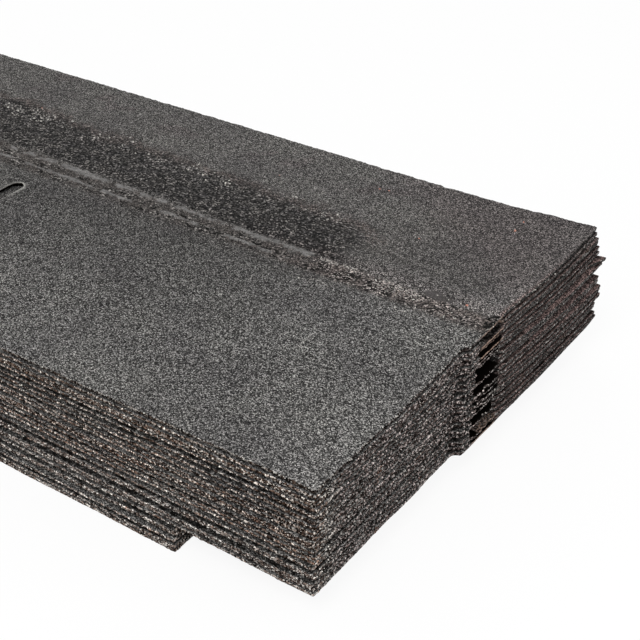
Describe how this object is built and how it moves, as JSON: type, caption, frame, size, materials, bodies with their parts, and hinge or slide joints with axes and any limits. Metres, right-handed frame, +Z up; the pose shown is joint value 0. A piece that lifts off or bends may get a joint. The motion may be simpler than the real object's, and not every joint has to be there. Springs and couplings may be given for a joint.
{
  "type": "asphalt shingle bundle",
  "caption": "Loose stack of three-tab asphalt strip shingles laid the same way up, its upper part overhanging the lower at one end; for covering a pitched roof.",
  "frame": {"origin": "middle of the underside of the stack's own box, on the floor", "axes": "+X along the strips towards the end where the upper strips overhang, +Y from the butt edges (tabs) to the headlap edges, +Z up"},
  "size_m": [1.0932, 0.319, 0.0927],
  "materials": {
    "granules": "dark grey ceramic-coated mineral granules bedded in asphalt, matt and rough",
    "sealant": "aged asphalt sealant beads, smeared and dusty, with a dull sheen",
    "asphalt_core": "cut edge of the asphalt-soaked glass mat, black-brown, half matt"
  },
  "bodies": {
    "root": {"shingle_01": "granules", "shingle_02": "granules", "shingle_03": "granules", "shingle_04": "granules", "shingle_05": "granules", "shingle_06": "granules", "shingle_07": "granules", "shingle_08": "granules", "shingle_09": "granules", "shingle_10": "granules", "shingle_11": "granules", "shingle_12": "granules", "shingle_13": "granules", "shingle_14": "granules", "shingle_15": "granules", "shingle_16": "granules", "shingle_17": "granules", "shingle_18": "granules", "shingle_19": "granules", "shingle_20": "granules", "shingle_21": "granules", "shingle_22": "granules", "shingle_23": "granules", "shingle_24": "granules", "shingle_25": "granules", "shingle_26": "granules"}
  },
  "joints": []
}
